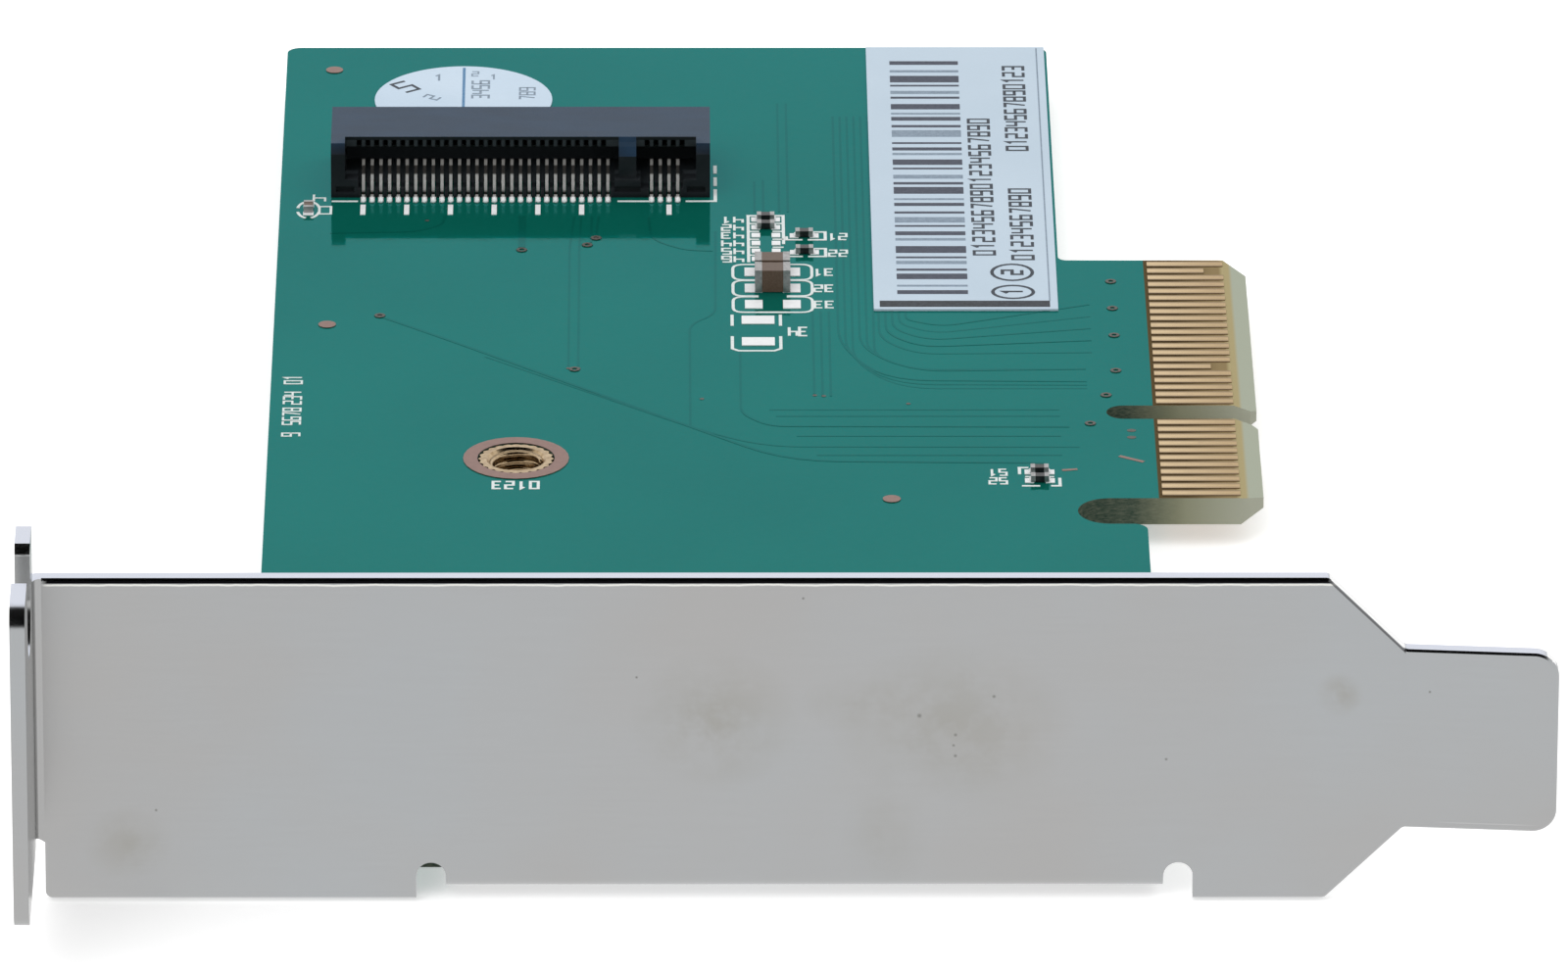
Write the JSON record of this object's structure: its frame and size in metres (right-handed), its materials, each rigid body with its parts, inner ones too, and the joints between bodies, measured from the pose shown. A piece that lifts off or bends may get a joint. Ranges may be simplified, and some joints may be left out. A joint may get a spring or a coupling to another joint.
{
  "type": "nvme adapter card",
  "caption": "Low-profile expansion card with a folded metal bracket, an edge connector and a socket that holds a flat storage module.",
  "frame": {"origin": "middle of the key notch, on the card edge, at the board's mid-plane", "axes": "+X out of the card edge into the slot, +Y along the card away from the bracket, +Z out of the side that carries the parts"},
  "size_m": [0.0805, 0.1253, 0.0215],
  "materials": {
    "board_mask": "gloss",
    "finger_gold": "satin",
    "socket_plastic": "matte",
    "contact_metal": "satin",
    "solder_tin": "satin",
    "nut_brass": "polished",
    "bare_copper": "satin",
    "bracket_nickel": "polished",
    "screw_steel": "polished",
    "label_paper": "satin",
    "sticker_paper": "satin",
    "capacitor_ceramic": "satin",
    "resistor_ceramic": "satin"
  },
  "bodies": {
    "root": {"circuit_board": "board_mask", "edge_fingers_component_side": "finger_gold", "edge_fingers_solder_side": "finger_gold", "socket_housing": "socket_plastic", "socket_lower_contacts": "contact_metal", "socket_upper_contacts": "contact_metal", "socket_hold_downs": "solder_tin", "socket_front_pads": "solder_tin", "socket_rear_pads": "solder_tin", "module_nut_short": "nut_brass", "module_nut_long": "nut_brass", "nut_ground_rings": "bare_copper", "mounting_bracket": "bracket_nickel", "bracket_screws": "screw_steel", "paper_label": "label_paper", "round_sticker": "sticker_paper", "capacitor_bodies": "capacitor_ceramic", "capacitor_ends": "solder_tin", "stack_resistor_bodies": "resistor_ceramic", "stack_resistor_ends": "solder_tin", "single_resistor_bodies": "resistor_ceramic", "single_resistor_ends": "solder_tin", "pair_resistor_bodies": "resistor_ceramic", "pair_resistor_ends": "solder_tin", "edge_capacitor_body": "capacitor_ceramic", "edge_capacitor_ends": "solder_tin", "solder_fillets": "solder_tin", "component_pads": "solder_tin", "spare_solder_pads": "solder_tin", "test_points": "bare_copper", "via_rings": "bare_copper"}
  },
  "joints": []
}
